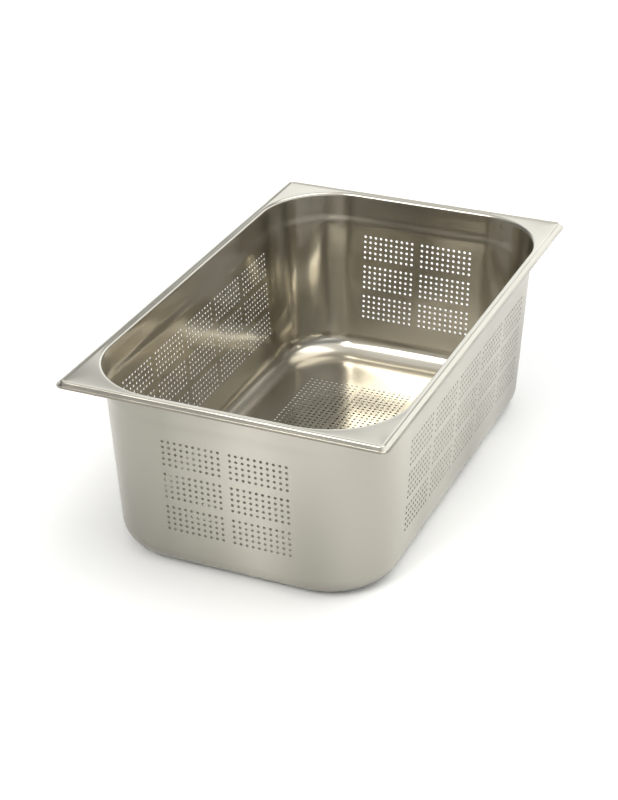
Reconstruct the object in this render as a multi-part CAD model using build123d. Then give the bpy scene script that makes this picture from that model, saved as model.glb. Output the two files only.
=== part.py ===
from build123d import *
import os
from math import cos, radians, sin, tan

# Perforated gastronorm pan, full size (GN 1/1), deep drawn from one stainless steel sheet.
# X is the width, Y the length and Z is up. The origin is the centre of the base underside.
# Every zone of the pressing is one solid, and neighbours meet face to face along tangent lines.

# Overall size
PAN_WIDTH = 325.0
PAN_LENGTH = 530.0
PAN_HEIGHT = 190.0
SHEET = 0.8

# Body, measured on the middle of the sheet
NECK_HALF_WIDTH = 151.6
NECK_HALF_LENGTH = 252.6
NECK_CORNER_RADIUS = 79.6
DRAFT_DEG = 3.5
SHOULDER_TOP = 168.0
SHOULDER_BOTTOM = 154.0
SHOULDER_STEP = 1.0
BASE_RADIUS = 23.6

# Rim, measured on the middle of the sheet
THROAT_RADIUS = 2.6
FLANGE_DROP = 1.2
BEAD_RADIUS = 1.4
BEAD_SLOPE = 2.8
BEAD_INSET = 5.4
SKIRT_LEAN_DEG = 28.0
LIP_RADIUS = 0.9
LIP_DROP = 4.6
RIM_CORNER_RADIUS = 8.6

# Perforation
HOLE_DIAMETER = 3.0
WALL_PITCH = 6.2
WALL_BLOCK_COLUMNS = 10
WALL_BLOCK_ROWS = 5
WALL_BLOCK_STEP = 67.4
WALL_BLOCK_RISE = 35.8
WALL_TOP_ROW = 142.0
END_BLOCKS = 2
SIDE_BLOCKS = 5
BLOCK_TIERS = 3
BASE_PITCH = 6.0
BASE_FIELD_COLUMNS = 10
BASE_FIELD_STEP = 62.6
BASE_FIELDS = 3
BASE_ROWS = 54

DRAFT = radians(DRAFT_DEG)
HALF_SHEET = SHEET / 2
STRAIGHT_HALF_X = NECK_HALF_WIDTH - NECK_CORNER_RADIUS
STRAIGHT_HALF_Y = NECK_HALF_LENGTH - NECK_CORNER_RADIUS

# Heights of the main lines of the section
FLANGE_Z = PAN_HEIGHT - FLANGE_DROP
BEAD_Z = PAN_HEIGHT - HALF_SHEET
LIP_Z = PAN_HEIGHT - LIP_DROP
NECK_TOP_Z = FLANGE_Z - THROAT_RADIUS * (1 - sin(DRAFT))
BASE_CENTRE_Z = HALF_SHEET + BASE_RADIUS

# Plan sizes of the rim's edge
SKIRT_LEAN = radians(SKIRT_LEAN_DEG)
SKIRT_HEIGHT = BEAD_Z - LIP_Z - (BEAD_RADIUS + LIP_RADIUS) * (1 - sin(SKIRT_LEAN))
LIP_WIDTH = BEAD_INSET - (BEAD_RADIUS + LIP_RADIUS) * cos(SKIRT_LEAN) - SKIRT_HEIGHT * tan(SKIRT_LEAN)
EDGE_WIDTH = BEAD_INSET + BEAD_SLOPE


def neck_line(z):
    """Offset of the neck from its top edge at a height, following the draft."""
    return (z - NECK_TOP_Z) * tan(DRAFT)


def wall_line(z):
    """Offset of the wall below the shoulder at a height."""
    return neck_line(z) - SHOULDER_STEP


BASE_EDGE = wall_line(BASE_CENTRE_Z) - BASE_RADIUS / cos(DRAFT)
WALL_FOOT = Vector(BASE_EDGE + BASE_RADIUS * cos(DRAFT), BASE_CENTRE_Z - BASE_RADIUS * sin(DRAFT))
WALL_HEAD = Vector(wall_line(SHOULDER_BOTTOM), SHOULDER_BOTTOM)
NECK_FOOT = Vector(neck_line(SHOULDER_TOP), SHOULDER_TOP)
NECK_HEAD = Vector(0, NECK_TOP_Z)
THROAT_HEAD = Vector(THROAT_RADIUS * cos(DRAFT), FLANGE_Z)
WALL_DIRECTION = Vector(sin(DRAFT), cos(DRAFT))


def section(path, start):
    """Cross-section of sheet along a path in the XZ plane, its zero offset at x = start."""
    return Plane.XZ * Pos(start) * trace(path, SHEET)


def fillet_path():
    """Base radius, from the flat base up to the foot of the wall."""
    return TangentArc((BASE_EDGE, HALF_SHEET), WALL_FOOT, tangent=(1, 0))


def wall_path():
    """Drafted wall between the base radius and the shoulder."""
    return Line(WALL_FOOT, WALL_HEAD)


def neck_path():
    """Stacking shoulder and the neck above it."""
    middle = (WALL_HEAD + NECK_FOOT) / 2
    lower = TangentArc(WALL_HEAD, middle, tangent=WALL_DIRECTION)
    upper = TangentArc(middle, NECK_FOOT, tangent=lower % 1)
    return lower + upper + Line(NECK_FOOT, NECK_HEAD)


def edge_path():
    """Raised bead, leaning skirt and out-turned lip, its zero offset at the outer edge of the lip."""
    up_skirt = Vector(-sin(SKIRT_LEAN), cos(SKIRT_LEAN))
    lip_end = Vector(-LIP_WIDTH, LIP_Z)
    foot = lip_end + Vector(-cos(SKIRT_LEAN), 1 - sin(SKIRT_LEAN)) * LIP_RADIUS
    head = foot + up_skirt * (SKIRT_HEIGHT / cos(SKIRT_LEAN))
    bead = Vector(-BEAD_INSET, BEAD_Z)
    landing = Vector(-EDGE_WIDTH, FLANGE_Z)
    halfway = (bead + landing) / 2
    lip = Line((0, LIP_Z), lip_end)
    lip_bend = TangentArc(lip_end, foot, tangent=(-1, 0))
    skirt = Line(foot, head)
    crown = TangentArc(head, bead, tangent=up_skirt)
    slope = TangentArc(bead, halfway, tangent=(-1, 0))
    return lip + lip_bend + skirt + crown + slope + TangentArc(halfway, landing, tangent=slope % 1)


def throat_path():
    """Bend from the neck out to the flange."""
    return TangentArc(NECK_HEAD, THROAT_HEAD, tangent=WALL_DIRECTION)


def straight(path, half_width, half_length):
    """A straight stretch of the pressing on the +X side of a rectangle."""
    return extrude(section(path, half_width), half_length, both=True)


def turned(path, radius):
    """A quarter turn of the pressing about Z, from +X to +Y."""
    return revolve(section(path, radius), Axis.Z, 90)


def neck_corner(path):
    """A quarter turn of a zone below the rim, about the vertical axis of its corner."""
    return Pos(STRAIGHT_HALF_X, STRAIGHT_HALF_Y) * turned(path, NECK_CORNER_RADIUS)


def neck_sides(name, path):
    """Write the four straight stretches of a zone below the rim."""
    side = straight(path, NECK_HALF_WIDTH, STRAIGHT_HALF_Y)
    end = straight(path, NECK_HALF_LENGTH, STRAIGHT_HALF_X)
    four_sides(name, side, end)


def four_sides(name, side, end):
    """Write a zone's right and left stretches and its back and front ones, all from the +X side."""
    save(side, name + "_right")
    save(Rot(Z=180) * side, name + "_left")
    save(Rot(Z=90) * end, name + "_back")
    save(Rot(Z=-90) * end, name + "_front")


def four_corners(name, corner):
    """Write a zone's corner and its three mirror images, from the corner at +X +Y."""
    save(corner, name + "_back_right")
    save(mirror(corner, Plane.YZ), name + "_back_left")
    save(mirror(corner, Plane.XZ), name + "_front_right")
    save(Rot(Z=180) * corner, name + "_front_left")


def save(solid, name):
    """Write one node."""
    export_step(solid, os.path.join("parts", name + ".step"))


def perforated(outline, centres):
    """A flat sheet with a round hole at each centre, rising from the outline's plane."""
    holes = [Pos(*centre) * Circle(HOLE_DIAMETER / 2) for centre in centres]
    return extrude(Face(outline.wire(), [hole.wire() for hole in holes]), SHEET)


def centred(count, step):
    """Evenly spaced places either side of zero."""
    return [(i - (count - 1) / 2) * step for i in range(count)]


def wall_holes(blocks, top):
    """Hole centres of one wall: tiers of blocks, with the top row at a given height."""
    places = []
    for block in centred(blocks, WALL_BLOCK_STEP):
        for column in centred(WALL_BLOCK_COLUMNS, WALL_PITCH):
            for tier in range(BLOCK_TIERS):
                for row in range(WALL_BLOCK_ROWS):
                    drop = tier * WALL_BLOCK_RISE + row * WALL_PITCH
                    places.append((block + column, top - drop))
    return places


def base_holes():
    """Hole centres of the base: three long fields side by side."""
    columns = [field + column for field in centred(BASE_FIELDS, BASE_FIELD_STEP)
               for column in centred(BASE_FIELD_COLUMNS, BASE_PITCH)]
    return [(x, y) for x in columns for y in centred(BASE_ROWS, BASE_PITCH)]


def wall_plate(half_width, half_length, blocks):
    """Perforated flat wall on the +X side."""
    length = (WALL_HEAD - WALL_FOOT).length
    middle = (WALL_HEAD + WALL_FOOT) / 2
    inward = Vector(-cos(DRAFT), 0, sin(DRAFT))
    outer = Vector(half_width + middle.X, 0, middle.Y) - inward * HALF_SHEET
    plane = Plane(origin=outer, x_dir=(0, -1, 0), z_dir=inward)
    top_row = (WALL_TOP_ROW - middle.Y) / cos(DRAFT)
    plate = perforated(Rectangle(2 * half_length, length), wall_holes(blocks, top_row))
    return plane * plate


def make_walls():
    """Write the two side walls and the two end walls."""
    side = wall_plate(NECK_HALF_WIDTH, STRAIGHT_HALF_Y, SIDE_BLOCKS)
    end = wall_plate(NECK_HALF_LENGTH, STRAIGHT_HALF_X, END_BLOCKS)
    save(side, "side_wall_right")
    save(Rot(Z=180) * side, "side_wall_left")
    save(Rot(Z=90) * end, "end_wall_back")
    save(Rot(Z=-90) * end, "end_wall_front")


def make_base():
    """Write the flat base inside the base radius."""
    width = 2 * (NECK_HALF_WIDTH + BASE_EDGE)
    length = 2 * (NECK_HALF_LENGTH + BASE_EDGE)
    outline = RectangleRounded(width, length, NECK_CORNER_RADIUS + BASE_EDGE)
    save(perforated(outline, base_holes()), "drain_base")


def rim_side(half_neck, half_rim, half_length):
    """Straight stretch of rim: throat bend, flat flange, bead and lip."""
    throat = straight(throat_path(), half_neck, half_length)
    flange_path = Line((half_neck + THROAT_HEAD.X, FLANGE_Z), (half_rim - EDGE_WIDTH, FLANGE_Z))
    flange = straight(flange_path, 0, half_length)
    edge = straight(edge_path(), half_rim, half_length)
    return throat + flange + edge


def rim_corner():
    """Corner of the rim at +X +Y: the throat turns wide, and the edge turns tight."""
    centre = Pos(STRAIGHT_HALF_X, STRAIGHT_HALF_Y)
    throat = centre * turned(throat_path(), NECK_CORNER_RADIUS)
    reach_x = PAN_WIDTH / 2 - EDGE_WIDTH - STRAIGHT_HALF_X
    reach_y = PAN_LENGTH / 2 - EDGE_WIDTH - STRAIGHT_HALF_Y
    corner = Rectangle(reach_x, reach_y, align=Align.MIN)
    corner = fillet(corner.vertices().sort_by(lambda v: v.X + v.Y)[-1], RIM_CORNER_RADIUS - EDGE_WIDTH)
    flange = corner - Circle(NECK_CORNER_RADIUS + THROAT_HEAD.X)
    flange = centre * Pos(0, 0, FLANGE_Z - HALF_SHEET) * extrude(flange, SHEET)
    edge_centre = Pos(PAN_WIDTH / 2 - RIM_CORNER_RADIUS, PAN_LENGTH / 2 - RIM_CORNER_RADIUS)
    edge_turn = edge_centre * turned(edge_path(), RIM_CORNER_RADIUS)
    run_x = PAN_WIDTH / 2 - RIM_CORNER_RADIUS - STRAIGHT_HALF_X
    run_y = PAN_LENGTH / 2 - RIM_CORNER_RADIUS - STRAIGHT_HALF_Y
    edge_side = extrude(section(edge_path(), PAN_WIDTH / 2), -run_y)
    edge_side = Pos(0, STRAIGHT_HALF_Y, 0) * edge_side
    edge_end = extrude(section(edge_path(), PAN_LENGTH / 2), run_x)
    edge_end = Pos(STRAIGHT_HALF_X, 0, 0) * Rot(Z=90) * edge_end
    return throat + flange + edge_turn + edge_side + edge_end


def make_rim():
    """Write the straight stretches and the corners of the rim."""
    side = rim_side(NECK_HALF_WIDTH, PAN_WIDTH / 2, STRAIGHT_HALF_Y)
    end = rim_side(NECK_HALF_LENGTH, PAN_LENGTH / 2, STRAIGHT_HALF_X)
    four_sides("rim", side, end)
    four_corners("rim_corner", rim_corner())


def main():
    os.makedirs("parts", exist_ok=True)
    make_base()
    make_walls()
    neck_sides("base_radius", fillet_path())
    four_corners("base_corner", neck_corner(fillet_path()))
    four_corners("corner_wall", neck_corner(wall_path()))
    neck_sides("stacking_neck", neck_path())
    four_corners("neck_corner", neck_corner(neck_path()))
    make_rim()


main()
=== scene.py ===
from math import cos, radians, sin, tan

import bmesh
import bpy
import numpy as np
from bpy.props import FloatProperty, FloatVectorProperty, IntProperty, PointerProperty
from mathutils import Matrix, Vector


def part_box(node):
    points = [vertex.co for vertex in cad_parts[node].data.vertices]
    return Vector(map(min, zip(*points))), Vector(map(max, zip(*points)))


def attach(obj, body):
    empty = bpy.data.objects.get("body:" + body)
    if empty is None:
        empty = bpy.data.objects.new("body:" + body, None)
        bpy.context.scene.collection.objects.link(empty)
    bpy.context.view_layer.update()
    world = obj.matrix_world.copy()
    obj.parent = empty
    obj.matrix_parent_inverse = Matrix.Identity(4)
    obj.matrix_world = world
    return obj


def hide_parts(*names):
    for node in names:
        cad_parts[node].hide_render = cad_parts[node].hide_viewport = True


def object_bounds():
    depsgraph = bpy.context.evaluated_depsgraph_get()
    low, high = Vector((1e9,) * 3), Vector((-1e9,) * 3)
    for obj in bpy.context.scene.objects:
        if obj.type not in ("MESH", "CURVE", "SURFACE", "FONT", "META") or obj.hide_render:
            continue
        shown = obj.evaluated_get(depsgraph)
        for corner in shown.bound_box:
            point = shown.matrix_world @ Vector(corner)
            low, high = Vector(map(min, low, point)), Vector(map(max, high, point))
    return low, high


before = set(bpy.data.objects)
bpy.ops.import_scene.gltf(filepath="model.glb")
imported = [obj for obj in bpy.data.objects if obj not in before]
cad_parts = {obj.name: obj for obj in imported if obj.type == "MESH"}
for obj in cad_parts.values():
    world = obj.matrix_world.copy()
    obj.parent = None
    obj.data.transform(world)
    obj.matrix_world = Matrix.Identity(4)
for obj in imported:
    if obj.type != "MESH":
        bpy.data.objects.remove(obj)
CAD_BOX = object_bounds()

bl_info = {
    "name": "Perforated pan",
    "version": (1, 0, 0),
    "blender": (4, 5, 0),
    "location": "3D View > Sidebar > Pan",
    "description": "Builds a deep perforated steel pan around its CAD frame",
    "category": "Object",
}

MM = 0.001
QUARTERS = ("back_right", "back_left", "front_left", "front_right")
SIDES = ("front", "back", "left", "right")

# Faces of the sheet, in the order of a piece's material slots
OUTSIDE, INSIDE, CUT = range(3)

# Straight stretches of the section end here, either side of the middle
STRAIGHT_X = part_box("rim_front")[1].x
STRAIGHT_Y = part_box("rim_right")[1].y


# ---------------------------------------------------------------- settings

def length(name, description, default):
    """A size in metres."""
    return FloatProperty(name=name, description=description, default=default, min=0.0,
                         precision=5, unit="LENGTH", subtype="DISTANCE")


def degrees(name, description, default):
    """An angle, given in degrees."""
    return FloatProperty(name=name, description=description, default=radians(default), subtype="ANGLE")


def count(name, description, default):
    """A whole number of repeats."""
    return IntProperty(name=name, description=description, default=default, min=1)


def share(name, description, default):
    """A factor from 0 to 1."""
    return FloatProperty(name=name, description=description, default=default, min=0.0, max=1.0,
                         subtype="FACTOR")


def strength(name, description, default):
    """How bright a light of the room is, where 1 is white."""
    return FloatProperty(name=name, description=description, default=default, min=0.0)


def heading(name, description, default):
    """A compass heading in degrees, from +X towards +Y."""
    return FloatProperty(name=name, description=description, default=default)


def colour(name, description, default):
    """A linear colour."""
    return FloatVectorProperty(name=name, description=description, default=default, size=3,
                               min=0.0, max=1.0, subtype="COLOR")


def place(name, description, default):
    """A point in metres."""
    return FloatVectorProperty(name=name, description=description, default=default, size=3,
                               unit="LENGTH", subtype="XYZ")


class PanSizes(bpy.types.PropertyGroup):
    """Sizes of the pressing, on the middle of the sheet unless the name says otherwise."""
    half_width: length("Half width", "Half the outside width of the rim", CAD_BOX[1].x)
    half_length: length("Half length", "Half the outside length of the rim", CAD_BOX[1].y)
    height: length("Height", "Height of the pan over its rim", CAD_BOX[1].z)
    sheet: length("Sheet", "Thickness of the sheet", 0.8 * MM)
    neck_radius: length("Neck corner radius", "Corner radius at the top of the neck", 79.6 * MM)
    draft: degrees("Draft", "Lean of the walls", 3.5)
    shoulder_top: length("Shoulder top", "Height where the shoulder starts", 168 * MM)
    shoulder_bottom: length("Shoulder bottom", "Height where the shoulder ends", 154 * MM)
    shoulder_step: length("Shoulder step", "How far the shoulder steps in", 1.0 * MM)
    base_radius: length("Base radius", "Radius between the walls and the base", 23.6 * MM)
    throat_radius: length("Throat radius", "Bend between the neck and the flange", 2.6 * MM)
    flange_drop: length("Flange drop", "How far the flange lies below the top", 1.2 * MM)
    bead_radius: length("Bead radius", "Bend over the raised bead", 1.4 * MM)
    bead_slope: length("Bead slope", "Width of the slope up to the bead", 2.8 * MM)
    bead_inset: length("Bead inset", "From the lip's edge in to the top of the bead", 5.4 * MM)
    skirt_lean: degrees("Skirt lean", "Lean of the skirt under the bead", 28)
    lip_radius: length("Lip radius", "Bend between the skirt and the lip", 0.9 * MM)
    lip_drop: length("Lip drop", "How far the lip lies below the top", 4.6 * MM)
    rim_radius: length("Rim corner radius", "Corner radius of the lip's edge", 8.6 * MM)
    crown: length("Crown", "How far the middle of the base rises", 2 * MM)
    seam_margin: length("Seam margin", "Flat sheet that each piece carries past its bends", 2 * MM)


class PanHoles(bpy.types.PropertyGroup):
    """Sizes of the perforation."""
    diameter: length("Diameter", "Diameter of a drain hole", 3.0 * MM)
    wall_pitch: length("Wall pitch", "Hole spacing in the walls", 6.2 * MM)
    wall_columns: count("Wall columns", "Holes across one wall block", 10)
    wall_rows: count("Wall rows", "Holes down one wall block", 5)
    block_step: length("Block step", "Spacing of the blocks along a wall", 67.4 * MM)
    block_rise: length("Block rise", "Spacing of the blocks up a wall", 35.8 * MM)
    top_row: length("Top row", "Height of the highest row of holes", 142 * MM)
    end_blocks: count("End blocks", "Blocks along an end wall", 2)
    side_blocks: count("Side blocks", "Blocks along a side wall", 5)
    tiers: count("Tiers", "Blocks up a wall", 3)
    base_pitch: length("Base pitch", "Hole spacing in the base", 6 * MM)
    base_columns: count("Base columns", "Holes across one base field", 10)
    base_rows: count("Base rows", "Holes along the base", 54)
    base_fields: count("Base fields", "Fields across the base", 3)
    field_step: length("Field step", "Spacing of the fields across the base", 62.6 * MM)


class PanFinish(bpy.types.PropertyGroup):
    """Colours and finish of the steel."""
    bright: colour("Bright steel", "Colour of the bright inside", (0.56, 0.53, 0.46))
    satin: colour("Satin steel", "Colour of the satin outside", (0.515, 0.495, 0.435))
    # Cut edges are darker than the sheet: partly the duller fracture of punched steel, partly painted
    # shade in the hole bores and under the lip's edge
    cut: colour("Cut steel and painted shade", "Colour of the punched and trimmed edges", (0.22, 0.21, 0.19))
    bright_roughness: share("Bright roughness", "Roughness of the bright inside", 0.14)
    satin_roughness: share("Satin roughness", "Roughness of the satin outside and the edges", 0.24)


class PanStage(bpy.types.PropertyGroup):
    """Camera, floor and room light."""
    camera_place: place("Camera place", "Where the camera stands", (0.6522, -1.5530, 0.9888))
    camera_turn: degrees("Camera turn", "Camera heading, left of the length axis", 23.54)
    camera_tilt: degrees("Camera tilt", "How far the camera looks down", 28.56)
    camera_roll: degrees("Camera roll", "Turn of the camera about its own axis", -0.59)
    lens: FloatProperty(name="Lens", description="Focal length in millimetres", default=84.62)
    floor_size: length("Floor size", "Width of the floor", 12.0)
    bright_side: heading("Bright side", "Heading of the windows in degrees", 30)
    window_light: strength("Window light", "Strength of the windows", 1.6)
    ceiling_light: strength("Ceiling light", "Strength of the ceiling panel", 2.9)
    lamp_side: heading("Lamp side", "Heading of the lamp in degrees", 250)
    lamp_light: strength("Lamp light", "Strength of the lamp", 10.0)
    daylight: colour("Daylight", "Colour of the light from the windows", (0.96, 0.99, 1.0))
    lamplight: colour("Lamplight", "Colour of the ceiling panel and the lamp", (1.0, 0.985, 0.95))
    fill_light: strength("Fill light", "Light from everywhere", 0.12)


# ---------------------------------------------------------------- section of the sheet

def run(start, end, steps=1):
    """Points along a straight stretch, each with its direction."""
    start, end = np.array(start, float), np.array(end, float)
    direction = (end - start) / np.linalg.norm(end - start)
    return [(start + (end - start) * i / steps, direction) for i in range(steps + 1)]


def bend(start, end, direction, steps):
    """Points along the arc that leaves start in a direction and reaches end, with their directions."""
    start, end = np.array(start, float), np.array(end, float)
    direction = np.array(direction, float) / np.linalg.norm(direction)
    left = np.array([-direction[1], direction[0]])
    chord = end - start
    reach = chord @ chord / (2 * chord @ left)
    centre = start + left * reach
    turn = 2 * np.arctan2(chord @ left, chord @ direction)
    points = []
    for i in range(steps + 1):
        a = turn * i / steps
        spin = np.array([[cos(a), -sin(a)], [sin(a), cos(a)]])
        points.append((centre + spin @ (start - centre), spin @ direction))
    return points


def chain(*stretches):
    """Join stretches that meet end to end."""
    points = list(stretches[0])
    for stretch in stretches[1:]:
        points += stretch[1:]
    return points


def skin(path, sheet):
    """Closed outline of the sheet along a path, outside first, and the finish of each side's faces."""
    middle = np.array([p for p, _ in path])
    outward = np.array([(d[1], -d[0]) for _, d in path])
    outline = np.vstack([middle + outward * sheet / 2, (middle - outward * sheet / 2)[::-1]])
    kinds = [OUTSIDE] * (len(path) - 1) + [CUT] + [INSIDE] * (len(path) - 1) + [CUT]
    return outline, kinds


# Steps along each stretch of the section
BASE_BEND_STEPS = 20
WALL_STEPS = 4
SHOULDER_STEPS = 4
NECK_STEPS = 2
THROAT_STEPS = 10
SLOPE_STEPS = 5
EDGE_STEPS = 8


class Section:
    """Named points and stretches of the pressing's section: offset outwards, and height."""

    def __init__(self, sizes):
        self.sizes = sizes
        self.lean = (sin(sizes.draft), cos(sizes.draft))
        self.flange_z = sizes.height - sizes.flange_drop
        self.neck_top = self.flange_z - sizes.throat_radius * (1 - sin(sizes.draft))
        base_centre = sizes.sheet / 2 + sizes.base_radius
        self.base_edge = self.wall(base_centre) - sizes.base_radius / cos(sizes.draft)
        foot_z = base_centre - sizes.base_radius * sin(sizes.draft)
        self.foot = (self.base_edge + sizes.base_radius * cos(sizes.draft), foot_z)
        self.head = (self.wall(sizes.shoulder_bottom), sizes.shoulder_bottom)
        self.low_seam = self.on_wall(sizes.seam_margin * self.lean[1] + foot_z)
        self.high_seam = self.on_wall(sizes.shoulder_bottom - sizes.seam_margin * self.lean[1])
        self.throat_out = sizes.throat_radius * cos(sizes.draft)

    def neck(self, z):
        """Offset of the neck at a height."""
        return (z - self.neck_top) * tan(self.sizes.draft)

    def wall(self, z):
        """Offset of the wall at a height."""
        return self.neck(z) - self.sizes.shoulder_step

    def on_wall(self, z):
        """Point of the wall at a height."""
        return (self.wall(z), z)

    def base_bend(self):
        """From the flat base, round the base radius and a little way up the wall."""
        flat = self.sizes.sheet / 2
        edge = (self.base_edge, flat)
        inner = (self.base_edge - self.sizes.seam_margin, flat)
        round_edge = bend(edge, self.foot, (1, 0), BASE_BEND_STEPS)
        return chain(run(inner, edge), round_edge, run(self.foot, self.low_seam))

    def wall_stretch(self):
        """The drafted wall between its two seams."""
        return run(self.low_seam, self.high_seam, WALL_STEPS)

    def neck_stretch(self):
        """From the top of the wall over the shoulder, the neck and the throat to the flange."""
        sizes = self.sizes
        neck_foot = np.array((self.neck(sizes.shoulder_top), sizes.shoulder_top))
        halfway = (np.array(self.head) + neck_foot) / 2
        lower = bend(self.head, halfway, self.lean, SHOULDER_STEPS)
        upper = bend(halfway, neck_foot, lower[-1][1], SHOULDER_STEPS)
        throat_end = (self.throat_out, self.flange_z)
        throat = bend((0, self.neck_top), throat_end, self.lean, THROAT_STEPS)
        flange = run(throat_end, (self.throat_out + sizes.seam_margin, self.flange_z))
        neck = run(neck_foot, (0, self.neck_top), NECK_STEPS)
        return chain(run(self.high_seam, self.head), lower, upper, neck, throat, flange)

    def edge_stretch(self):
        """From the flat flange over the bead and down the skirt to the lip's edge, where x is 0."""
        sizes = self.sizes
        lip_z = sizes.height - sizes.lip_drop
        bead = np.array((-sizes.bead_inset, sizes.height - sizes.sheet / 2))
        landing = np.array((bead[0] - sizes.bead_slope, self.flange_z))
        halfway = (bead + landing) / 2
        down_skirt = np.array((sin(sizes.skirt_lean), -cos(sizes.skirt_lean)))
        turn = np.array((cos(sizes.skirt_lean), sin(sizes.skirt_lean) - 1))
        head = bead + turn * sizes.bead_radius
        fall = head[1] - lip_z + turn[1] * sizes.lip_radius
        foot = head + down_skirt * fall / cos(sizes.skirt_lean)
        lip_end = foot + turn * sizes.lip_radius
        rise = bend(landing, halfway, (1, 0), SLOPE_STEPS)
        crest = bend(halfway, bead, rise[-1][1], SLOPE_STEPS)
        crown = bend(bead, head, (1, 0), EDGE_STEPS)
        flare = bend(foot, lip_end, down_skirt, EDGE_STEPS)
        lip = run(lip_end, (0, lip_z))
        return chain(rise, crest, crown, run(head, foot), flare, lip)


# ---------------------------------------------------------------- plan of the pan

# Steps round a wide corner, and round the tight turn of the lip
CORNER_STEPS = 36
TIGHT_STEPS = 8


def corner_signs(quarter):
    """Signs of X and Y at a quarter of the plan, counted anticlockwise from back right."""
    return ((1, 1), (-1, 1), (-1, -1), (1, -1))[quarter]


def wide_corner(quarter, margin=0.0):
    """Centres and angles round one wide corner, with a straight margin at either end."""
    sign_x, sign_y = corner_signs(quarter)
    centre = np.array((sign_x * STRAIGHT_X, sign_y * STRAIGHT_Y))
    angles = [radians(90 * (quarter + i / CORNER_STEPS)) for i in range(CORNER_STEPS + 1)]
    stations = [(centre, a) for a in angles]
    if margin:
        first, last = angles[0], angles[-1]
        stations.insert(0, (centre - margin * np.array((-sin(first), cos(first))), first))
        stations.append((centre + margin * np.array((-sin(last), cos(last))), last))
    return stations


def tight_corner(quarter, sizes):
    """Centres and angles along the lip that match a wide corner's one for one."""
    sign_x, sign_y = corner_signs(quarter)
    turn = np.array((sign_x * (sizes.half_width - sizes.rim_radius),
                     sign_y * (sizes.half_length - sizes.rim_radius)))
    near_end = np.array((sign_x * STRAIGHT_X, turn[1]))
    near_side = np.array((turn[0], sign_y * STRAIGHT_Y))
    start, end = (near_side, near_end) if quarter % 2 == 0 else (near_end, near_side)
    legs = (CORNER_STEPS - TIGHT_STEPS) // 2
    stations = [(start + (turn - start) * i / legs, radians(90 * quarter)) for i in range(legs)]
    for i in range(TIGHT_STEPS + 1):
        stations.append((turn, radians(90 * (quarter + i / TIGHT_STEPS))))
    for i in range(1, legs + 1):
        stations.append((turn + (end - turn) * i / legs, radians(90 * (quarter + 1))))
    return stations


def offset(stations, radius, offsets):
    """Plan points at each station for each offset from a radius, as stations by offsets by two."""
    centres = np.array([c for c, _ in stations])
    angles = np.array([a for _, a in stations])
    rays = np.stack([np.cos(angles), np.sin(angles)], axis=1)
    return centres[:, None, :] + rays[:, None, :] * (radius + offsets)[None, :, None]


# ---------------------------------------------------------------- meshes

def tube(name, plan, heights, kinds, closed):
    """Mesh of an outline carried from station to station, closed on itself or capped at both ends."""
    stations, corners = plan.shape[:2]
    z = np.broadcast_to(heights, (stations, corners))
    verts = np.concatenate([plan, z[..., None]], axis=2).reshape(-1, 3)
    faces, slots = [], []
    for i in range(stations if closed else stations - 1):
        here, there = i * corners, (i + 1) % stations * corners
        for j in range(corners):
            k = (j + 1) % corners
            faces.append((here + j, there + j, there + k, here + k))
            slots.append(kinds[j])
    if not closed:
        faces += [tuple(range(corners)), tuple((stations - 1) * corners + j for j in range(corners))]
        slots += [CUT, CUT]
    return make_mesh(name, verts, faces, slots)


def make_mesh(name, verts, faces, slots):
    """Closed mesh with outward faces and a material slot for each face."""
    mesh = bpy.data.meshes.new(name)
    mesh.from_pydata([tuple(v) for v in verts], [], faces)
    mesh.polygons.foreach_set("material_index", slots)
    face_outwards(mesh)
    return mesh


SHARP_ANGLE = radians(35)


def face_outwards(mesh):
    """Turn every face of a closed mesh outwards."""
    bm = bmesh.new()
    bm.from_mesh(mesh)
    bmesh.ops.recalc_face_normals(bm, faces=bm.faces)
    bm.to_mesh(mesh)
    bm.free()


def finish_piece(name, mesh, materials, *nodes):
    """Put a finished mesh in the scene, standing for its CAD nodes."""
    piece = bpy.data.objects.new(name, mesh)
    kinds = np.empty(len(mesh.polygons), np.int32)
    mesh.polygons.foreach_get("material_index", kinds)
    mesh.materials.clear()
    for material in materials:
        mesh.materials.append(material)
    mesh.polygons.foreach_set("material_index", kinds)
    mesh.shade_smooth()
    mesh.set_sharp_from_angle(angle=SHARP_ANGLE)
    bpy.context.scene.collection.objects.link(piece)
    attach(piece, "root")
    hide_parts(*nodes)
    return piece


# ---------------------------------------------------------------- perforated sheet

HOLE_SIDES = 12
WELD_DISTANCE = 0.02 * MM

# A face whose normal is further than this across the sheet belongs to one of its two sides
ACROSS = 0.5


def hole_cell(pitch, diameter, sheet):
    """Square cell of sheet with a round hole, open at its four sides."""
    verts = []
    for z in (-sheet / 2, sheet / 2):
        for i in range(HOLE_SIDES):
            a = radians(360 * i / HOLE_SIDES)
            verts.append((diameter / 2 * cos(a), diameter / 2 * sin(a), z))
        for i in range(4):
            a = radians(90 * i + 45)
            verts.append((pitch * cos(a) / 2 ** 0.5, pitch * sin(a) / 2 ** 0.5, z))
    faces = []
    quarter = HOLE_SIDES // 4
    layer = HOLE_SIDES + 4
    for base, flip in ((0, -1), (layer, 1)):
        for i in range(4):
            corner = base + HOLE_SIDES + i
            ring = [base + (i * quarter + k) % HOLE_SIDES for k in range(quarter + 1)]
            faces.append(tuple([corner] + ring[::-1])[::flip])
            before = base + HOLE_SIDES + (i - 1) % 4
            faces.append((corner, ring[0], before)[::flip])
    for i in range(HOLE_SIDES):
        k = (i + 1) % HOLE_SIDES
        faces.append((i, k, layer + k, layer + i))
    mesh = bpy.data.meshes.new("hole_cell")
    mesh.from_pydata(verts, [], faces)
    return mesh


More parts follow.
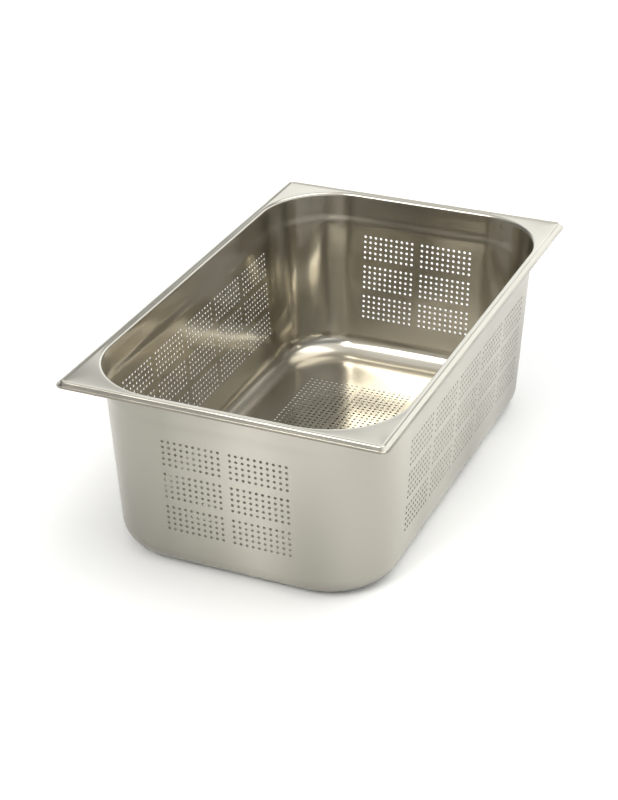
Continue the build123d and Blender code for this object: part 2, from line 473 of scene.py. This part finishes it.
def perforation_tree():
    """Geometry Nodes that repeat a hole cell by rows, columns, blocks and tiers and weld it in."""
    tree = bpy.data.node_groups.new("Perforation", "GeometryNodeTree")
    face = tree.interface
    face.new_socket("Geometry", in_out="INPUT", socket_type="NodeSocketGeometry")
    face.new_socket("Cell", in_out="INPUT", socket_type="NodeSocketObject")
    repeats = (("Columns", "Column Step", 0), ("Rows", "Row Step", 1),
               ("Blocks", "Block Step", 0), ("Tiers", "Tier Step", 1))
    for number, step, _ in repeats:
        face.new_socket(number, in_out="INPUT", socket_type="NodeSocketInt")
        face.new_socket(step, in_out="INPUT", socket_type="NodeSocketFloat")
    face.new_socket("Middle", in_out="INPUT", socket_type="NodeSocketVector")
    for finish in ("Outside", "Inside", "Cut"):
        face.new_socket(finish, in_out="INPUT", socket_type="NodeSocketMaterial")
    face.new_socket("Geometry", in_out="OUTPUT", socket_type="NodeSocketGeometry")
    nodes, link = tree.nodes, tree.links.new
    given = nodes.new("NodeGroupInput").outputs
    cell = nodes.new("GeometryNodeObjectInfo")
    link(given["Cell"], cell.inputs["Object"])
    shape = cell.outputs["Geometry"]
    for number, step, axis in repeats:
        places = line_of_places(tree, given[number], given[step], axis)
        onto = nodes.new("GeometryNodeInstanceOnPoints")
        link(places, onto.inputs["Points"])
        link(shape, onto.inputs["Instance"])
        real = nodes.new("GeometryNodeRealizeInstances")
        link(onto.outputs["Instances"], real.inputs["Geometry"])
        shape = real.outputs["Geometry"]
    shift = nodes.new("GeometryNodeTransform")
    link(shape, shift.inputs["Geometry"])
    link(given["Middle"], shift.inputs["Translation"])
    join = nodes.new("GeometryNodeJoinGeometry")
    link(shift.outputs["Geometry"], join.inputs["Geometry"])
    link(given["Geometry"], join.inputs["Geometry"])
    weld = nodes.new("GeometryNodeMergeByDistance")
    weld.inputs["Distance"].default_value = WELD_DISTANCE
    link(join.outputs["Geometry"], weld.inputs["Geometry"])
    shape = weld.outputs["Geometry"]
    for finish, threshold, operation in (("Cut", None, None), ("Outside", ACROSS, "GREATER_THAN"),
                                         ("Inside", -ACROSS, "LESS_THAN")):
        paint = nodes.new("GeometryNodeSetMaterial")
        link(shape, paint.inputs["Geometry"])
        link(given[finish], paint.inputs["Material"])
        if operation:
            link(normal_test(tree, threshold, operation), paint.inputs["Selection"])
        shape = paint.outputs["Geometry"]
    link(shape, nodes.new("NodeGroupOutput").inputs["Geometry"])
    return tree


def line_of_places(tree, number, step, axis):
    """A centred row of points along X (axis 0) or Y (axis 1)."""
    nodes, link = tree.nodes, tree.links.new
    gaps = nodes.new("ShaderNodeMath")
    gaps.operation = "SUBTRACT"
    link(number, gaps.inputs[0])
    gaps.inputs[1].default_value = 1
    span = nodes.new("ShaderNodeMath")
    span.operation = "MULTIPLY"
    link(gaps.outputs[0], span.inputs[0])
    link(step, span.inputs[1])
    start = nodes.new("ShaderNodeMath")
    start.operation = "MULTIPLY"
    link(span.outputs[0], start.inputs[0])
    start.inputs[1].default_value = -0.5
    line = nodes.new("GeometryNodeMeshLine")
    line.mode = "OFFSET"
    link(number, line.inputs["Count"])
    for value, socket in ((start.outputs[0], "Start Location"), (step, "Offset")):
        vector = nodes.new("ShaderNodeCombineXYZ")
        link(value, vector.inputs[axis])
        link(vector.outputs[0], line.inputs[socket])
    return line.outputs["Mesh"]


def normal_test(tree, threshold, operation):
    """True where a face's normal passes a threshold across the sheet."""
    nodes, link = tree.nodes, tree.links.new
    parts = nodes.new("ShaderNodeSeparateXYZ")
    link(nodes.new("GeometryNodeInputNormal").outputs[0], parts.inputs[0])
    test = nodes.new("FunctionNodeCompare")
    test.data_type = "FLOAT"
    test.operation = operation
    link(parts.outputs["Z"], test.inputs[0])
    test.inputs[1].default_value = threshold
    return test.outputs[0]


def cell_edges(blocks, step, cells, pitch, middle):
    """Edges of the cells along one axis, and whether each gap between two edges is perforated."""
    edges, holed = [], []
    for b in range(blocks):
        centre = middle + (b - (blocks - 1) / 2) * step
        if edges:
            holed.append(False)
        edges += [centre + (i - cells / 2) * pitch for i in range(cells + 1)]
        holed += [True] * cells
    return edges, holed


def blank_grid(columns, rows, sheet):
    """Vertices and faces of the unperforated cells of a sheet, on both faces."""
    (xs, holed_x), (ys, holed_y) = columns, rows
    verts, faces = [], []
    for z in (-sheet / 2, sheet / 2):
        base = len(verts)
        verts += [(x, y, z) for x in xs for y in ys]
        for i, across in enumerate(holed_x):
            for j, along in enumerate(holed_y):
                if not (across and along):
                    corner = base + i * len(ys) + j
                    faces.append((corner, corner + len(ys), corner + len(ys) + 1, corner + 1))
    return verts, faces


def border(columns, rows):
    """Indices round the edge of one face of a blank grid."""
    across, along = len(columns[0]), len(rows[0])
    right = [i * along for i in range(across)]
    up = [(across - 1) * along + j for j in range(1, along)]
    left = [i * along + along - 1 for i in range(across - 2, -1, -1)]
    down = list(range(along - 2, 0, -1))
    return right + up + left + down


def wrap(faces, loop, layer):
    """Close the edge of a sheet between the loops of its two faces."""
    for here, there in zip(loop, loop[1:] + loop[:1]):
        faces.append((here, there, there + layer, here + layer))


def perforate(blank, cell, inputs, materials):
    """Run the perforation tree on a blank sheet and return the plain welded mesh."""
    tree = bpy.data.node_groups.get("Perforation") or perforation_tree()
    cell_object = bpy.data.objects.new("hole_cell", cell)
    plate = bpy.data.objects.new("blank", blank)
    bpy.context.scene.collection.objects.link(plate)
    modifier = plate.modifiers.new("Perforation", "NODES")
    modifier.node_group = tree
    inputs = dict(inputs, Cell=cell_object)
    inputs.update(zip(("Outside", "Inside", "Cut"), materials))
    for item in tree.interface.items_tree:
        if item.in_out == "INPUT" and item.name in inputs:
            modifier[item.identifier] = inputs[item.name]
    graph = bpy.context.evaluated_depsgraph_get()
    mesh = bpy.data.meshes.new_from_object(plate.evaluated_get(graph))
    bpy.data.objects.remove(plate)
    bpy.data.objects.remove(cell_object)
    face_outwards(mesh)
    return mesh


def mark_faces(mesh, outward):
    """Give each face of a flat sheet its slot, from where its normal points."""
    for face in mesh.polygons:
        facing = face.normal.dot(outward)
        face.material_index = OUTSIDE if facing > ACROSS else INSIDE if facing < -ACROSS else CUT


# ---------------------------------------------------------------- materials

# Rolled sheet spreads part of its reflection into a wide haze
HAZE_SHARE = 0.34
HAZE_ROUGHNESS = 0.33

# Patterns of the sheet, in features per metre, and how far each is drawn out along the sheet
FINE_LINES, FINE_DRAW = 420, 0.02
WIDE_LINES, WIDE_DRAW = 70, 0.05
BANDS, BAND_DRAW = 8, 0.25
SMUDGES = 13
RIPPLE = 8

# Changes of roughness, as shares of a finish's own
LINE_CHANGE = 0.02
SMUDGE_CHANGE = 0.1

# A Mix node has sockets for every kind of value: its two sides and its result, by kind
NUMBER_SIDES, NUMBER_RESULT = (2, 3), 0
COLOUR_SIDES, COLOUR_RESULT = (6, 7), 2

# Depths of the draw lines and of the ripple, and how much darker the darker bands are: partly random
# dullness of the sheet, partly painted shade that stands in for dark bands reflected in the walls
SATIN_LOOK = {"grain": 0.001 * MM, "ripple": 3.0 * MM, "dulling_and_painted_shade": 0.36}
BRIGHT_LOOK = {"grain": 0.0004 * MM, "ripple": 3.0 * MM, "dulling_and_painted_shade": 0.05}
CUT_LOOK = {"grain": 0.001 * MM, "ripple": 0.2 * MM, "dulling_and_painted_shade": 0.05}


def set_range(ramp, start, end, low, high):
    """Make a Map Range node spread start to end over low to high."""
    for socket, number in zip(("From Min", "From Max", "To Min", "To Max"), (start, end, low, high)):
        ramp.inputs[socket].default_value = number


def steel(name, tint, roughness, grain, ripple, dulling_and_painted_shade):
    """Stainless sheet with draw lines, darker bands of random tone and painted shade, smudges, a soft
    ripple and a wide haze.
    """
    material = bpy.data.materials.get(name)
    if material:
        return material
    material = bpy.data.materials.new(name)
    material.use_nodes = True
    nodes, link = material.node_tree.nodes, material.node_tree.links.new
    coordinates = nodes.new("ShaderNodeTexCoord")

    def noise(scale, detail, draw=(1, 1, 1)):
        """Noise over the sheet, drawn out along the axes with a small number."""
        mapping = nodes.new("ShaderNodeMapping")
        mapping.inputs["Scale"].default_value = draw
        link(coordinates.outputs["Object"], mapping.inputs["Vector"])
        texture = nodes.new("ShaderNodeTexNoise")
        texture.inputs["Scale"].default_value = scale
        texture.inputs["Detail"].default_value = detail
        link(mapping.outputs["Vector"], texture.inputs["Vector"])
        return texture.outputs["Fac"]

    def remap(value, low, high, start=0.3, end=0.7):
        """Spread a value from start to end over low to high."""
        ramp = nodes.new("ShaderNodeMapRange")
        link(value, ramp.inputs["Value"])
        set_range(ramp, start, end, low, high)
        return ramp.outputs["Result"]

    def add(first, second):
        """Sum of two values."""
        total = nodes.new("ShaderNodeMath")
        link(first, total.inputs[0])
        link(second, total.inputs[1])
        return total.outputs[0]

    def lines(flat, scale, detail, draw):
        """Draw lines that run up the walls and along the flats."""
        blend = nodes.new("ShaderNodeMix")
        link(flat, blend.inputs[0])
        for side, axes in zip(NUMBER_SIDES, ((1, 1, draw), (1, draw, 1))):
            link(noise(scale, detail, axes), blend.inputs[side])
        return blend.outputs[NUMBER_RESULT]

    def bump(height, depth, normal=None):
        """Raise a pattern to a depth."""
        relief = nodes.new("ShaderNodeBump")
        relief.inputs["Distance"].default_value = depth
        link(height, relief.inputs["Height"])
        if normal:
            link(normal, relief.inputs["Normal"])
        return relief.outputs["Normal"]

    facing = nodes.new("ShaderNodeSeparateXYZ")
    link(coordinates.outputs["Normal"], facing.inputs[0])
    level = nodes.new("ShaderNodeMath")
    level.operation = "ABSOLUTE"
    link(facing.outputs["Z"], level.inputs[0])
    flat = remap(level.outputs[0], 0.0, 1.0, 0.5, 0.8)
    fine_lines = lines(flat, FINE_LINES, 1, FINE_DRAW)
    wide_lines = lines(flat, WIDE_LINES, 2, WIDE_DRAW)

    # Darker bands drawn out up the walls: partly random tone of the sheet, partly painted shade
    # standing in for darker reflections
    shade = nodes.new("ShaderNodeMix")
    shade.data_type = "RGBA"
    link(remap(noise(BANDS, 1, (1, 1, BAND_DRAW)), 0.0, 1.0, 0.35, 0.65), shade.inputs[0])
    dulled_and_shaded_tone = tuple(c * (1 - dulling_and_painted_shade) for c in tint)
    for side, tone in zip(COLOUR_SIDES, (dulled_and_shaded_tone, tint)):
        shade.inputs[side].default_value = (*tone, 1)
    least, most = roughness * (1 - LINE_CHANGE), roughness * (1 + LINE_CHANGE)
    lined = remap(add(fine_lines, wide_lines), least, most, 0.7, 1.3)
    smudged = remap(noise(SMUDGES, 3), -SMUDGE_CHANGE * roughness, SMUDGE_CHANGE * roughness)
    relief = bump(wide_lines, grain, bump(noise(RIPPLE, 1), ripple))

    clear = nodes["Principled BSDF"]
    haze = nodes.new("ShaderNodeBsdfPrincipled")
    for surface in (clear, haze):
        surface.inputs["Metallic"].default_value = 1.0
        link(shade.outputs[COLOUR_RESULT], surface.inputs["Base Color"])
        link(relief, surface.inputs["Normal"])
    link(add(lined, smudged), clear.inputs["Roughness"])
    haze.inputs["Roughness"].default_value = HAZE_ROUGHNESS
    veil = nodes.new("ShaderNodeMixShader")
    veil.inputs["Fac"].default_value = HAZE_SHARE
    link(clear.outputs["BSDF"], veil.inputs[1])
    link(haze.outputs["BSDF"], veil.inputs[2])
    link(veil.outputs["Shader"], nodes["Material Output"].inputs["Surface"])
    return material


def steel_faces():
    """Materials of a piece's outside, inside and cut edges."""
    finish = bpy.context.scene.pan_finish
    satin = steel("satin_steel", finish.satin, finish.satin_roughness, **SATIN_LOOK)
    bright = steel("bright_steel", finish.bright, finish.bright_roughness, **BRIGHT_LOOK)
    # The dark cut colour paints shade into the hole bores and along the lip's edge, besides giving the
    # duller punched steel
    cut = steel("cut_steel_and_painted_shade", finish.cut, finish.satin_roughness, **CUT_LOOK)
    return satin, bright, cut


# ---------------------------------------------------------------- operators

def named(prefix, endings):
    """Node names that share a prefix."""
    return [f"{prefix}_{ending}" for ending in endings]


class PAN_OT_rim(bpy.types.Operator):
    """Build the flange, bead, skirt and lip round the pan"""
    bl_idname = "pan.rim"
    bl_label = "Rim"

    def execute(self, context):
        sizes = context.scene.pan_sizes
        section = Section(sizes)
        inner = section.throat_out + sizes.seam_margin
        outline, kinds = skin(section.edge_stretch(), sizes.sheet)
        wide = [s for quarter in range(4) for s in wide_corner(quarter)]
        tight = [s for quarter in range(4) for s in tight_corner(quarter, sizes)]
        edge_plan = offset(tight, sizes.rim_radius, outline[:, 0])
        inner_plan = offset(wide, sizes.neck_radius, np.array([inner, inner]))
        plan = np.concatenate([edge_plan, inner_plan], axis=1)
        half = sizes.sheet / 2
        heights = np.append(outline[:, 1], (section.flange_z + half, section.flange_z - half))
        kinds = kinds[:-1] + [INSIDE, CUT, OUTSIDE]
        mesh = tube("rim", plan, heights, kinds, True)
        finish_piece("rim", mesh, steel_faces(), *named("rim", SIDES), *named("rim_corner", QUARTERS))
        return {"FINISHED"}


class PAN_OT_neck(bpy.types.Operator):
    """Build the throat, the neck and the stacking shoulder"""
    bl_idname = "pan.neck"
    bl_label = "Neck"

    def execute(self, context):
        sizes = context.scene.pan_sizes
        outline, kinds = skin(Section(sizes).neck_stretch(), sizes.sheet)
        stations = [s for quarter in range(4) for s in wide_corner(quarter)]
        plan = offset(stations, sizes.neck_radius, outline[:, 0])
        mesh = tube("stacking_neck", plan, outline[:, 1], kinds, True)
        nodes = named("stacking_neck", SIDES) + named("neck_corner", QUARTERS)
        finish_piece("stacking_neck", mesh, steel_faces(), *nodes)
        return {"FINISHED"}


class PAN_OT_corner_walls(bpy.types.Operator):
    """Build the four drafted round corners of the wall"""
    bl_idname = "pan.corner_walls"
    bl_label = "Corner walls"

    def execute(self, context):
        sizes = context.scene.pan_sizes
        outline, kinds = skin(Section(sizes).wall_stretch(), sizes.sheet)
        for quarter, ending in enumerate(QUARTERS):
            stations = wide_corner(quarter, sizes.seam_margin)
            plan = offset(stations, sizes.neck_radius, outline[:, 0])
            mesh = tube("corner_wall", plan, outline[:, 1], kinds, False)
            finish_piece("round_corner_" + ending, mesh, steel_faces(), "corner_wall_" + ending)
        return {"FINISHED"}


class PAN_OT_base_radius(bpy.types.Operator):
    """Build the round lower edge between the walls and the base"""
    bl_idname = "pan.base_radius"
    bl_label = "Base radius"

    def execute(self, context):
        sizes = context.scene.pan_sizes
        outline, kinds = skin(Section(sizes).base_bend(), sizes.sheet)
        stations = [s for quarter in range(4) for s in wide_corner(quarter)]
        plan = offset(stations, sizes.neck_radius, outline[:, 0])
        mesh = tube("base_radius", plan, outline[:, 1], kinds, True)
        nodes = named("base_radius", SIDES) + named("base_corner", QUARTERS)
        finish_piece("base_radius", mesh, steel_faces(), *nodes)
        return {"FINISHED"}


class PAN_OT_walls(bpy.types.Operator):
    """Build the four perforated walls"""
    bl_idname = "pan.walls"
    bl_label = "Perforated walls"

    def execute(self, context):
        sizes, holes = context.scene.pan_sizes, context.scene.pan_holes
        walls = (("side_wall_right", 0, STRAIGHT_X, STRAIGHT_Y, holes.side_blocks),
                 ("end_wall_back", 90, STRAIGHT_Y, STRAIGHT_X, holes.end_blocks),
                 ("side_wall_left", 180, STRAIGHT_X, STRAIGHT_Y, holes.side_blocks),
                 ("end_wall_front", 270, STRAIGHT_Y, STRAIGHT_X, holes.end_blocks))
        for name, turn, out, half, blocks in walls:
            mesh = self.plate(sizes, holes, half - sizes.seam_margin, blocks)
            mesh.transform(self.lean(sizes, turn, out + sizes.neck_radius))
            mesh.update()
            finish_piece("perforated_" + name, mesh, steel_faces(), name)
        return {"FINISHED"}

    def plate(self, sizes, holes, half, blocks):
        """Perforated wall lying flat, its outside up, with the wall's middle at zero."""
        section = Section(sizes)
        low, high = np.array(section.low_seam), np.array(section.high_seam)
        reach = np.linalg.norm(high - low) / 2
        top_row = (holes.top_row - (low + high)[1] / 2) / cos(sizes.draft)
        rows_down = (holes.tiers - 1) * holes.block_rise + (holes.wall_rows - 1) * holes.wall_pitch
        middle = top_row - rows_down / 2
        xs, holed_x = cell_edges(blocks, holes.block_step, holes.wall_columns, holes.wall_pitch, 0.0)
        ys, holed_y = cell_edges(holes.tiers, holes.block_rise, holes.wall_rows, holes.wall_pitch,
                                 middle)
        columns = ([-half] + xs + [half], [False] + holed_x + [False])
        rows = ([-reach] + ys + [reach], [False] + holed_y + [False])
        verts, faces = blank_grid(columns, rows, sizes.sheet)
        wrap(faces, border(columns, rows), len(verts) // 2)
        blank = bpy.data.meshes.new("wall_blank")
        blank.from_pydata(verts, [], faces)
        face_outwards(blank)
        inputs = {"Columns": holes.wall_columns, "Column Step": holes.wall_pitch,
                  "Rows": holes.wall_rows, "Row Step": holes.wall_pitch,
                  "Blocks": blocks, "Block Step": holes.block_step,
                  "Tiers": holes.tiers, "Tier Step": holes.block_rise,
                  "Middle": (0.0, middle, 0.0)}
        cell = hole_cell(holes.wall_pitch, holes.diameter, sizes.sheet)
        mesh = perforate(blank, cell, inputs, steel_faces())
        mark_faces(mesh, Vector((0, 0, 1)))
        return mesh

    def lean(self, sizes, turn, out):
        """Matrix that stands a flat plate up on the pan's right side and turns it to its own side."""
        section = Section(sizes)
        middle = (np.array(section.low_seam) + np.array(section.high_seam)) / 2
        along = Vector((0, 1, 0))
        up = Vector((section.lean[0], 0, section.lean[1]))
        outward = along.cross(up)
        stand = Matrix((along, up, outward)).transposed().to_4x4()
        stand.translation = Vector((out + middle[0], 0, middle[1]))
        return Matrix.Rotation(radians(turn), 4, "Z") @ stand


class PAN_OT_drain_base(bpy.types.Operator):
    """Build the perforated base"""
    bl_idname = "pan.drain_base"
    bl_label = "Drain base"

    def execute(self, context):
        sizes, holes = context.scene.pan_sizes, context.scene.pan_holes
        columns = cell_edges(holes.base_fields, holes.field_step, holes.base_columns,
                             holes.base_pitch, 0.0)
        rows = cell_edges(1, 0.0, holes.base_rows, holes.base_pitch, 0.0)
        verts, faces = blank_grid(columns, rows, sizes.sheet)
        edge = self.outline(sizes)
        bm = bmesh.new()
        grid = [bm.verts.new(v) for v in verts]
        for face in faces:
            bm.faces.new([grid[i] for i in face])
        layer = len(verts) // 2
        field = border(columns, rows)
        rims = [self.surround(bm, edge, [grid[i + k * layer] for i in field], z)
                for k, z in enumerate((-sizes.sheet / 2, sizes.sheet / 2))]
        for i in range(len(edge)):
            k = (i + 1) % len(edge)
            bm.faces.new((rims[0][i], rims[0][k], rims[1][k], rims[1][i]))
        blank = bpy.data.meshes.new("base_blank")
        bm.to_mesh(blank)
        bm.free()
        inputs = {"Columns": holes.base_columns, "Column Step": holes.base_pitch,
                  "Rows": holes.base_rows, "Row Step": holes.base_pitch,
                  "Blocks": holes.base_fields, "Block Step": holes.field_step,
                  "Tiers": 1, "Tier Step": 0.0, "Middle": (0.0, 0.0, 0.0)}
        cell = hole_cell(holes.base_pitch, holes.diameter, sizes.sheet)
        mesh = perforate(blank, cell, inputs, steel_faces())
        mark_faces(mesh, Vector((0, 0, -1)))
        mesh.transform(Matrix.Translation((0, 0, sizes.sheet / 2)))
        self.raise_crown(mesh, sizes.crown, columns[0][-1], rows[0][-1])
        finish_piece("perforated_base", mesh, steel_faces(), "drain_base")
        return {"FINISHED"}

    def raise_crown(self, mesh, rise, half_width, half_length):
        """Lift the perforated part of the base towards its middle, as the press leaves it."""
        places = np.empty(len(mesh.vertices) * 3)
        mesh.vertices.foreach_get("co", places)
        places = places.reshape(-1, 3)
        fall = [(1 - np.clip(places[:, k] / half, -1, 1) ** 4) ** 2
                for k, half in enumerate((half_width, half_length))]
        places[:, 2] += rise * fall[0] * fall[1]
        mesh.vertices.foreach_set("co", places.ravel())
        mesh.update()

    def outline(self, sizes):
        """Plan of the base's edge, where it meets the base radius."""
        inset = np.array([Section(sizes).base_edge - sizes.seam_margin])
        stations = [s for quarter in range(4) for s in wide_corner(quarter)]
        return offset(stations, sizes.neck_radius, inset)[:, 0]

    def surround(self, bm, edge, field, z):
        """Fill one face of the sheet between its edge and the perforated field."""
        rim = [bm.verts.new((x, y, z)) for x, y in edge]
        lines = []
        for loop in (rim, field):
            for here, there in zip(loop, loop[1:] + loop[:1]):
                lines.append(bm.edges.get((here, there)) or bm.edges.new((here, there)))
        filled = bmesh.ops.triangle_fill(bm, use_beauty=True, edges=lines)
        if not filled["geom"]:
            raise RuntimeError("the plain border of the base could not be filled")
        return rim


# The floor lies just under the base, so that the two don't coincide
FLOOR_DROP = 0.1 * MM
FLOOR_WHITE = (0.92, 0.92, 0.92)
FLOOR_ROUGHNESS = 0.7
FLOOR_SHINE = 0.2

# Lights that only show from one side: middle elevation in degrees, and where they begin and are full,
# as the cosine of the angle from their middle
CEILING_ELEVATION, CEILING_EDGE, CEILING_FULL = 62.0, 0.84, 0.91
LAMP_ELEVATION, LAMP_EDGE, LAMP_FULL = 44.0, 0.97, 0.985

# Heights in the room, as the sine of the elevation: top of the windows, and start of the ceiling
WINDOWS_END, WALL_START = 0.41, 0.54
CEILING_START, CEILING_CLEAR = 0.7, 0.78

# Light of the wall over the windows, of the dim side, and of the ceiling away from its panel
OVER_WINDOWS = 0.15
DIM_SIDE = 0.1
PLAIN_CEILING = 0.75

# Where the dim side ends and the bright side is full, as the cosine of the angle from its middle
DIM_END, BRIGHT_START = -0.6, 0.1

SENSOR_WIDTH = 36
VIEW_END = 50


class PAN_OT_stage(bpy.types.Operator):
    """Build the floor, the room light and the camera"""
    bl_idname = "pan.stage"
    bl_label = "Stage"

    def execute(self, context):
        settings = context.scene.pan_stage
        self.floor(context, settings)
        self.world(context, settings)
        self.camera(context, settings)
        context.scene.view_settings.view_transform = "Standard"
        return {"FINISHED"}

    def floor(self, context, settings):
        """Plain white floor."""
        mesh = bpy.data.meshes.new("floor")
        half = settings.floor_size / 2
        corners = [(x * half, y * half, -FLOOR_DROP) for x, y in ((-1, -1), (1, -1), (1, 1), (-1, 1))]
        mesh.from_pydata(corners, [], [(0, 1, 2, 3)])
        material = bpy.data.materials.new("floor_white")
        material.use_nodes = True
        surface = material.node_tree.nodes["Principled BSDF"]
        surface.inputs["Base Color"].default_value = (*FLOOR_WHITE, 1)
        surface.inputs["Roughness"].default_value = FLOOR_ROUGHNESS
        surface.inputs["Specular IOR Level"].default_value = FLOOR_SHINE
        mesh.materials.append(material)
        floor = bpy.data.objects.new("floor", mesh)
        context.scene.collection.objects.link(floor)

    def world(self, context, settings):
        """Soft room light: windows on the bright side, a dim side, a large ceiling panel and a lamp."""
        world = bpy.data.worlds.new("room")
        world.use_nodes = True
        nodes, link = world.node_tree.nodes, world.node_tree.links.new
        towards = nodes.new("ShaderNodeTexCoord").outputs["Generated"]
        height = nodes.new("ShaderNodeSeparateXYZ")
        link(towards, height.inputs[0])

        def math(operation, first, second):
            """Sum or product of two values."""
            node = nodes.new("ShaderNodeMath")
            node.operation = operation
            for socket, value in zip(node.inputs, (first, second)):
                if isinstance(value, float):
                    socket.default_value = value
                else:
                    link(value, socket)
            return node.outputs[0]

        def ramp(value, start, end, low, high):
            """Soft step from low to high as a value goes from start to end."""
            node = nodes.new("ShaderNodeMapRange")
            node.interpolation_type = "SMOOTHSTEP"
            link(value, node.inputs["Value"])
            set_range(node, start, end, low, high)
            return node.outputs["Result"]

        def facing(azimuth, elevation):
            """How nearly a direction points at a place in the room, from -1 to 1."""
            node = nodes.new("ShaderNodeVectorMath")
            node.operation = "DOT_PRODUCT"
            link(towards, node.inputs[0])
            turn, rise = radians(azimuth), radians(elevation)
            node.inputs[1].default_value = (cos(turn) * cos(rise), sin(turn) * cos(rise), sin(rise))
            return node.outputs["Value"]

        z = height.outputs["Z"]
        side = facing(settings.bright_side, 0.0)
        windows = math("MULTIPLY", ramp(z, WINDOWS_END, WALL_START, 1.0, OVER_WINDOWS),
                       ramp(side, DIM_END, BRIGHT_START, DIM_SIDE, settings.window_light))
        over = facing(settings.bright_side, CEILING_ELEVATION)
        ceiling = math("MULTIPLY", ramp(z, CEILING_START, CEILING_CLEAR, 0.0, 1.0),
                       ramp(over, CEILING_EDGE, CEILING_FULL, PLAIN_CEILING, settings.ceiling_light))
        lamp = ramp(facing(settings.lamp_side, LAMP_ELEVATION), LAMP_EDGE, LAMP_FULL, 0.0,
                    settings.lamp_light)
        daylight = nodes["Background"]
        lamps = nodes.new("ShaderNodeBackground")
        for source, tone, amount in (
                (daylight, settings.daylight, math("ADD", windows, settings.fill_light)),
                (lamps, settings.lamplight, math("ADD", ceiling, lamp))):
            source.inputs["Color"].default_value = (*tone, 1)
            link(amount, source.inputs["Strength"])
        both = nodes.new("ShaderNodeAddShader")
        link(daylight.outputs[0], both.inputs[0])
        link(lamps.outputs[0], both.inputs[1])
        link(both.outputs[0], nodes["World Output"].inputs["Surface"])
        context.scene.world = world

    def camera(self, context, settings):
        """Camera looking down on the front right corner."""
        data = bpy.data.cameras.new("camera")
        data.sensor_width = SENSOR_WIDTH
        data.lens = settings.lens
        data.clip_end = VIEW_END
        camera = bpy.data.objects.new("camera", data)
        turn = Matrix.Rotation(settings.camera_turn, 4, "Z")
        tilt = Matrix.Rotation(radians(90) - settings.camera_tilt, 4, "X")
        roll = Matrix.Rotation(settings.camera_roll, 4, "Z")
        camera.matrix_world = Matrix.Translation(settings.camera_place) @ turn @ tilt @ roll
        context.scene.collection.objects.link(camera)
        context.scene.camera = camera


OPERATORS = (PAN_OT_rim, PAN_OT_neck, PAN_OT_corner_walls, PAN_OT_walls, PAN_OT_base_radius,
             PAN_OT_drain_base, PAN_OT_stage)


class PAN_PT_sidebar(bpy.types.Panel):
    """Buttons and settings of the pan"""
    bl_label = "Perforated pan"
    bl_idname = "PAN_PT_sidebar"
    bl_space_type = "VIEW_3D"
    bl_region_type = "UI"
    bl_category = "Pan"

    def draw(self, context):
        for operator in OPERATORS:
            self.layout.operator(operator.bl_idname)
        for group in SETTINGS:
            box = self.layout.box()
            for name in SETTINGS[group].__annotations__:
                box.prop(getattr(context.scene, group), name)


SETTINGS = {"pan_sizes": PanSizes, "pan_holes": PanHoles, "pan_finish": PanFinish,
            "pan_stage": PanStage}


def register():
    for group in SETTINGS:
        bpy.utils.register_class(SETTINGS[group])
        setattr(bpy.types.Scene, group, PointerProperty(type=SETTINGS[group]))
    for cls in (*OPERATORS, PAN_PT_sidebar):
        bpy.utils.register_class(cls)


def unregister():
    for cls in reversed((*OPERATORS, PAN_PT_sidebar)):
        bpy.utils.unregister_class(cls)
    for group in SETTINGS:
        delattr(bpy.types.Scene, group)
        bpy.utils.unregister_class(SETTINGS[group])


def main():
    register()
    bpy.ops.pan.rim()
    bpy.ops.pan.neck()
    bpy.ops.pan.corner_walls()
    bpy.ops.pan.walls()
    bpy.ops.pan.base_radius()
    bpy.ops.pan.drain_base()
    bpy.ops.pan.stage()


if __name__ == "__main__":
    main()
